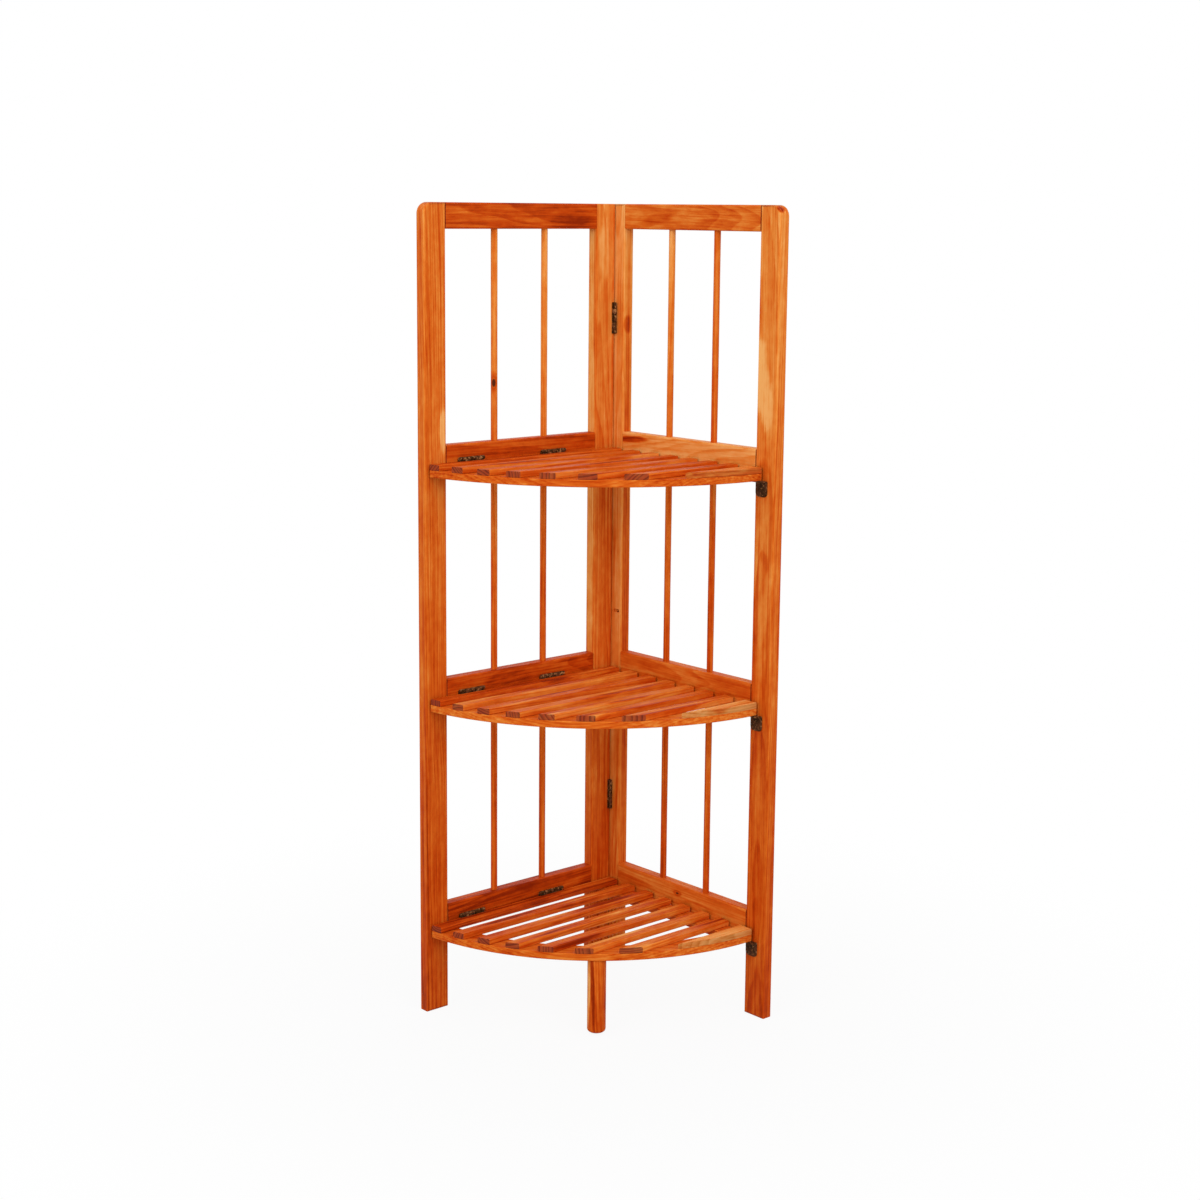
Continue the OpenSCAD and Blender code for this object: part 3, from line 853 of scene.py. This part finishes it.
def leaf_screws(side):
    """The two screws of a leaf in the hinge's own axes."""
    x, out = (LEAF_T, 1.0) if side == 0 else (NOTCH - LEAF_T, -1.0)
    y, z = -(LEAF_W + NOTCH / 2) / 2, HINGE_L / 2 - 4.5
    return [((x, y, h), (out, 0, 0), SCREW_L) for h in (-z, z)]


def bracket_screws(level):
    """The two screws that hold a bracket to the right front stile, one above the other."""
    down, apart = 10.5, 4.0
    z = SHELF_TOPS[level] - SHELF_T - down
    return [((BRACKET_X, -BRACKET_T, z + d), (0, -1, 0), SCREW_L) for d in (-apart, apart)]


def slat_screws(level):
    """The screws up into the slats: through the batten and, inside the arc, the curved rail."""
    z = SHELF_TOPS[level] - SHELF_T
    holes = []
    for k in range(1, SLATS + 1):
        x = SLAT_BACK + (k - 1) * SLAT_PITCH + SLAT_W / 2
        far = LAST_SCREW
        if k < SLATS:
            far = np.sqrt((ARC_R - SCREW_IN) ** 2 - (x + ARC_BACK) ** 2)
        holes += [((x, -y, z), (0, 0, -1), SLAT_SCREW_L) for y in (END_GAP + BATTEN_W / 2, far)]
    return holes


def bracket(level):
    """A bracket: a flat strip, its long edges cut off a little, carried under the shelf, round a
    quarter circle and down the stile, where it narrows between two corner circles."""
    zs = SHELF_TOPS[level] - SHELF_T
    reach, drop, bend, corner_r, half_w, thick = 9.0, 19.0, 2.2, 5.0, 9.0, BRACKET_T
    a = np.linspace(0, np.pi / 2, 6)
    mid = bend - thick / 2
    under = np.array([-reach + 0.01, -reach / 2])
    low = drop - bend
    straight = low - corner_r
    down = np.concatenate([
        np.linspace(0, straight, 3), straight + corner_r * np.sin(np.linspace(0.25, 1.45, 7))])[1:]
    y = np.concatenate([under, -bend + mid * np.sin(a), np.full(len(down), -thick / 2)])
    z = np.concatenate([np.full(2, -thick / 2), -bend + mid * np.cos(a), -bend - down])
    tilt = np.concatenate([np.zeros(2), a, np.full(len(down), np.pi / 2)])
    past = np.clip((down - straight) / corner_r, 0, 1)
    half = half_w - corner_r + corner_r * np.sqrt(1 - past**2)
    half = np.concatenate([np.full(len(y) - len(down), half_w), half])
    edge = np.array([(-1, -0.6), (-1, 0.6), (-0.97, 1), (0.97, 1),
                     (1, 0.6), (1, -0.6), (0.97, -1), (-0.97, -1)])
    x = BRACKET_X + half[:, None] * edge[:, 0]
    off = edge[:, 1] * thick / 2
    y, z = y[:, None] + np.sin(tilt)[:, None] * off, zs + z[:, None] + np.cos(tilt)[:, None] * off
    return np.stack([x, y, z], -1).reshape(-1, 3), tube_faces(len(tilt), len(edge))


# Settings, operators and panel


def colour(name, description, r, g, b):
    """A colour setting."""
    return bpy.props.FloatVectorProperty(
        name=name, description=description, subtype="COLOR", size=3, min=0, max=1,
        default=srgb(r, g, b))


def number(name, description, default, low, high, **kind):
    """A number setting with its unit or subtype."""
    return bpy.props.FloatProperty(
        name=name, description=description, default=default, min=low, max=high, **kind)


class TimberSettings(bpy.types.PropertyGroup):
    """Sizes of the timber"""

    edge: number(
        "Frame edge", "Radius of the frames' long edges", 0.002, 0.0005, 0.003, unit="LENGTH")
    slat_edge: number(
        "Slat edge", "Radius of the slats' long edges", 0.0012, 0.0004, 0.0016, unit="LENGTH")


class PineSettings(bpy.types.PropertyGroup):
    """Colours of the pine"""

    pale: colour("Pale", "Palest wood under the stain", 238, 172, 98)
    honey: colour("Honey", "Early wood under the stain", 226, 134, 54)
    orange: colour("Orange", "Middle tone of the stain", 212, 99, 25)
    red: colour("Red", "Deep tone of the stain", 190, 66, 7)
    deep: colour("Deep", "Late wood and deepest stain", 140, 38, 4)
    knot: colour("Knot", "Heart of a knot", 84, 34, 16)
    end_pale: colour("End, pale", "Early wood on the end faces", 152, 60, 34)
    end_dark: colour("End, dark", "Late wood on the end faces", 84, 32, 26)


class BronzeSettings(bpy.types.PropertyGroup):
    """Colours of the fittings"""

    bronze: colour("Bronze", "Dark skin of the fittings", 62, 37, 15)
    skin: colour("Skin", "Reddish skin of the fittings", 96, 58, 36)
    # Painted shade: the dark colour the screws take fully and the brackets under the shelves in
    # part
    screw: colour("Screw", "Skin of the screws", 34, 19, 10)
    rubbed: colour("Rubbed", "Where the skin is rubbed bright", 172, 124, 78)


class StageSettings(bpy.types.PropertyGroup):
    """Floor and light"""

    floor: number("Floor", "How pale the floor is", 0.6, 0, 1, subtype="FACTOR")
    key: number("Key", "Power of the main softbox", 19.0, 0, 100, unit="POWER")
    fill: number("Fill", "Power of the filling softbox", 21.5, 0, 100, unit="POWER")
    sky: number("Surround", "Light from all round", 0.8, 0, 2, subtype="FACTOR")


def workshop(context):
    """The pine, and the edge radii of the frames' timber and of the slats in millimetres."""
    scene = context.scene
    pine = finish("stained_pine", paint_pine, scene.shelf_pine)
    return pine, scene.shelf_timber.edge * MM, scene.shelf_timber.slat_edge * MM


class SHELF_OT_stiles(bpy.types.Operator):
    """Makes the four upright stiles"""

    bl_idname = "shelf.stiles"
    bl_label = "Stiles"

    def execute(self, context):
        pine, edge, _ = workshop(context)
        for node, facts in STILES.items():
            cut = Cut(node, *facts)
            if node == "left_back_stile":
                seated_stile(node, pine, cut, edge)
                continue
            board(
                node, pine, cut, *stile_outline("front" in node), THICK, edge,
                PLACES[node.split("_")[0]], heading=90, open_end=0.5,
                hole=slot_outline() if node == "right_back_stile" else None)
        return {"FINISHED"}


class SHELF_OT_rails(bpy.types.Operator):
    """Makes the eight cross rails"""

    bl_idname = "shelf.rails"
    bl_label = "Cross rails"

    def execute(self, context):
        pine, edge, _ = workshop(context)
        tops = dict(zip(("lower", "middle", "upper", "top"), RAIL_TOPS))
        for node, facts in RAILS.items():
            side, level, _ = node.split("_")
            board(
                node, pine, Cut(node, *facts), *rail_outline(tops[level]), THICK, edge,
                PLACES[side], heading=0)
        return {"FINISHED"}


class SHELF_OT_spindles(bpy.types.Operator):
    """Makes the round spindles of both frames"""

    bl_idname = "shelf.spindles"
    bl_label = "Spindles"

    def execute(self, context):
        pine, _, _ = workshop(context)
        third = (WIDTH - 2 * STILE) / 3
        for side, place in PLACES.items():
            parts, fields = [], []
            rng = seeded(side + " spindles")
            for bay, (z0, z1) in enumerate(zip(RAIL_TOPS[:-1], RAIL_TOPS[1:])):
                for i in (1, 2):
                    centre = place(np.array([[STILE + i * third, 0.0, THICK / 2]]))[0]
                    solid, local = spindle(z0 - SOCKET + FIT, z1 - RAIL + SOCKET - FIT, centre, rng)
                    # Painted shade: fall makes each spindle deeper towards its bottom.
                    cut = Cut(
                        f"{side} {bay} {i}", SPINDLE_TONES[side][bay][i - 1], fall=-0.14,
                        lean=rng.uniform(-0.02, 0.02), knot=SPINDLE_KNOTS.get((side, bay, i)))
                    parts.append(solid)
                    fields.append(cut.fields(local))
            obj = joined(side + "_spindle_dowels", parts)
            merged = {key: np.concatenate([f[key] for f in fields]) for key in fields[0]}
            paint_grain(obj, merged, np.zeros(len(obj.data.polygons)))
            dress(obj, side + "_spindles", pine)
        return {"FINISHED"}


class SHELF_OT_shelves(bpy.types.Operator):
    """Makes the slats, curved rails and battens of the three shelves"""

    bl_idname = "shelf.shelves"
    bl_label = "Shelves"

    def execute(self, context):
        pine, _, edge = workshop(context)
        for level, top in SHELF_TOPS.items():
            place = shelf_place(top - SLAT_T)
            *slats, front, batten = SHELF_TONES[level]
            for k, tone in enumerate(slats, 1):
                node = f"{level}_slat_{k}"
                outline, shares = slat_outline(k)
                rng = seeded(node + " marks")
                marks = [
                    (rng.uniform(10, 250), rng.uniform(-7, 7), SLAT_T / 2, rng.uniform(25, 80),
                     rng.uniform(2, 5), 0.0, gain) for gain in (0.30, 0.24, -0.24)]
                sawn, open_end = (0.72, 1.0) if k < SLATS else (0.6, 0.85)
                board(
                    node, pine, Cut(node, tone, marks=marks), outline, shares, SLAT_T, edge, place,
                    heading=90, sawn=np.where(shares < 0.3, sawn, 0.0), open_end=open_end)
            apron = APRON_H, APRON_EDGE, shelf_place(top - SHELF_T)
            node = f"{level}_front_rail"
            cut = Cut(node, front, side=84, lean=0.01)
            board(node, pine, cut, *front_rail_outline(), *apron, heading=135, open_end=0.35)
            node = f"{level}_batten"
            board(node, pine, Cut(node, batten), *batten_outline(), *apron, heading=0)
        return {"FINISHED"}


class SHELF_OT_leg(bpy.types.Operator):
    """Makes the round leg"""

    bl_idname = "shelf.leg"
    bl_label = "Leg"

    def execute(self, context):
        pine, _, _ = workshop(context)
        radius, foot, ease, rim, inside, rings, around = 11.0, 3.0, 4.0, 0.7, 2.0, 24, 48
        # On the diagonal of the shelf, inside the arc
        ring = ARC_R - radius - inside
        at = (np.sqrt(2 * ring**2 - ARC_BACK**2) - ARC_BACK) / 2
        rise, inset = quarter_round(ease, 6)
        top = SHELF_TOPS["low"] - SHELF_T
        z = np.concatenate([foot + rise, np.linspace(foot + ease + rim, top, rings)])
        radii = np.concatenate([radius - inset, np.full(rings, radius)])
        pts, local = round_rod((at, -at), z, radii, around)
        obj = add_mesh("leg_post_timber", pts, *tube_faces(len(z), around))
        # Painted shade: fall makes the leg deeper towards the floor.
        cut = Cut("leg", 0.61, fall=-0.06, heart=18, side=35, lean=0.06, marks=[
            (52, -2, -11, 46, 3.2, 0.03, -0.50), (60, 4, -10, 62, 2.6, -0.04, 0.34)])
        paint_grain(obj, cut.fields(local), [0] * (len(obj.data.polygons) - 2) + [1, 1])
        dress(obj, "leg_post", pine)
        return {"FINISHED"}


class SHELF_OT_fittings(bpy.types.Operator):
    """Makes the brackets, hinge leaves and screws and gives all fittings their bronzed finish"""

    bl_idname = "shelf.fittings"
    bl_label = "Fittings"

    def execute(self, context):
        bronze = finish("bronzed_steel", paint_bronze, context.scene.shelf_bronze)
        rng = seeded("screws")
        corners = [corner_hinge(z) for z in CORNER_HINGES]
        hinges = {level: [shelf_hinge(level, h) for h in HINGES] for level in SHELF_TOPS}
        rail_side = [place for places in hinges.values() for place in places]
        pieces = {
            "shelf_brackets": [bracket(level) for level in SHELF_TOPS],
            "corner_hinge_right_leaves": placed(leaf(0), corners),
            "corner_hinge_left_leaves": placed(leaf(1), corners),
            "shelf_hinge_rail_leaves": placed(leaf(0), rail_side),
            "corner_screw": screws([(CORNER_SCREW, (0, -1, 0), CORNER_SCREW_L)], rng),
            "frame_screws":
                screws([hole for level in SHELF_TOPS for hole in bracket_screws(level)], rng)
                + screws(leaf_screws(0), rng, rail_side)
                + screws(leaf_screws(0) + leaf_screws(1), rng, corners),
        }
        for level, places in hinges.items():
            pieces[level + "_hinge_leaves"] = placed(leaf(1), places)
            pieces[level + "_shelf_screws"] = (
                screws(slat_screws(level), rng) + screws(leaf_screws(1), rng, places))
        for node, parts in pieces.items():
            obj = joined(node + "_metal", parts, sharp=35.0)
            # Painted shade: full on the screws, which show as dark spots, part on the brackets
            # under the shelves
            painted_shade = 1.0 if "screw" in node else 0.4 if node == "shelf_brackets" else 0.0
            shade = obj.data.attributes.new("shade", "FLOAT", "FACE")
            shade.data.foreach_set("value", np.full(len(obj.data.polygons), painted_shade))
            dress(obj, node, bronze)
        for node, obj in NODES.items():
            if SLOTS[node] == "antiqued_steel" and node not in pieces:
                obj.data.materials.clear()
                obj.data.materials.append(bronze)
        return {"FINISHED"}


def place_camera(scene):
    """The camera at the photograph's viewpoint: turned by its yaw, tilted down from level by its
    pitch and rolled. The small vertical shift sets the framing."""
    data = bpy.data.cameras.new("camera")
    cam = bpy.data.objects.new("camera", data)
    scene.collection.objects.link(cam)
    yaw, pitch, roll = np.radians((48.4725, 9.6055, 0.5077))
    cam.matrix_world = (
        Matrix.Translation((1.7595, -1.557, 0.95498)) @ Matrix.Rotation(yaw, 4, "Z")
        @ Matrix.Rotation(np.pi / 2 - pitch, 4, "X") @ Matrix.Rotation(roll, 4, "Z"))
    data.sensor_width = 36.0
    data.lens = 61.688
    data.shift_y = -0.0367
    data.clip_start = 0.05
    data.clip_end = 100.0
    scene.camera = cam


def place_surround(scene, strength):
    """A world that looks white and lights the object at its own strength."""
    world = bpy.data.worlds.new("surround")
    scene.world = world
    t = Tree(world)
    lit = t.add("Background", WHITE, strength).outputs[0]
    seen = t.add("Background", WHITE, 1.0).outputs[0]
    t.add("OutputWorld", t.add("MixShader", t.white_rays(), lit, seen).outputs[0])


def place_floor(scene, pale):
    """A square floor that takes the object's shadow and whitens away from its middle."""
    half, near, far, share_near, share_far = 20.0, 0.15, 0.9, 0.93, 1.0
    mesh = bpy.data.meshes.new("floor")
    corners = [(-half, -half, 0), (half, -half, 0), (half, half, 0), (-half, half, 0)]
    mesh.from_pydata(corners, [], [(0, 1, 2, 3)])
    floor = bpy.data.objects.new("floor", mesh)
    scene.collection.objects.link(floor)
    mesh.materials.append(bpy.data.materials.new("pale_floor"))
    t = Tree(mesh.materials[0])
    matt = t.add("BsdfDiffuse", (pale, pale, pale, 1.0)).outputs[0]
    glow = t.add("Emission").outputs[0]
    away = t.length(t.add("TexCoord").outputs["Object"])
    share = t.times(t.white_rays(), t.step(away, near, far, share_near, share_far))
    t.add("OutputMaterial", t.add("MixShader", share, matt, glow).outputs[0])


def softbox(scene, name, at, power, aim):
    """A square lamp that looks at a point of the object."""
    data = bpy.data.lights.new(name, "AREA")
    data.shape = "SQUARE"
    data.size = 1.5
    data.energy = power
    obj = bpy.data.objects.new(name, data)
    scene.collection.objects.link(obj)
    obj.location = at
    obj.rotation_mode = "QUATERNION"
    obj.rotation_quaternion = (Vector(aim) - Vector(at)).to_track_quat("-Z", "Y")


class SHELF_OT_stage(bpy.types.Operator):
    """Makes the floor, the surround, the lamps and the camera"""

    bl_idname = "shelf.stage"
    bl_label = "Stage"

    def execute(self, context):
        scene = context.scene
        settings = scene.shelf_stage
        place_camera(scene)
        place_surround(scene, settings.sky)
        place_floor(scene, settings.floor)
        softbox(scene, "key", (0.6, -2.2, 1.95), settings.key, (0, 0, 0.5))
        softbox(scene, "fill", (2.3, -0.5, 1.85), settings.fill, (0, 0, 0.45))
        scene.view_settings.view_transform = "Standard"
        return {"FINISHED"}


STEPS = ("stiles", "rails", "spindles", "shelves", "leg", "fittings", "stage")
GROUPS = {
    "shelf_timber": TimberSettings,
    "shelf_pine": PineSettings,
    "shelf_bronze": BronzeSettings,
    "shelf_stage": StageSettings,
}


class SHELF_PT_panel(bpy.types.Panel):
    """Lists the settings and the pieces of the corner shelf"""

    bl_idname = "SHELF_PT_panel"
    bl_label = "Corner shelf"
    bl_space_type = "VIEW_3D"
    bl_region_type = "UI"
    bl_category = "Corner shelf"

    def draw(self, context):
        for key in GROUPS:
            group = getattr(context.scene, key)
            column = self.layout.column(align=True)
            for name in setting_names(group):
                column.prop(group, name)
        for name in STEPS:
            self.layout.operator(f"shelf.{name}")


CLASSES = (
    *GROUPS.values(), SHELF_OT_stiles, SHELF_OT_rails, SHELF_OT_spindles, SHELF_OT_shelves,
    SHELF_OT_leg, SHELF_OT_fittings, SHELF_OT_stage, SHELF_PT_panel,
)


def register():
    for cls in CLASSES:
        bpy.utils.register_class(cls)
    for key, group in GROUPS.items():
        setattr(bpy.types.Scene, key, bpy.props.PointerProperty(type=group))


def unregister():
    for key in GROUPS:
        delattr(bpy.types.Scene, key)
    for cls in reversed(CLASSES):
        bpy.utils.unregister_class(cls)


def main():
    register()
    for name in STEPS:
        getattr(bpy.ops.shelf, name)()


if __name__ == "__main__":
    main()
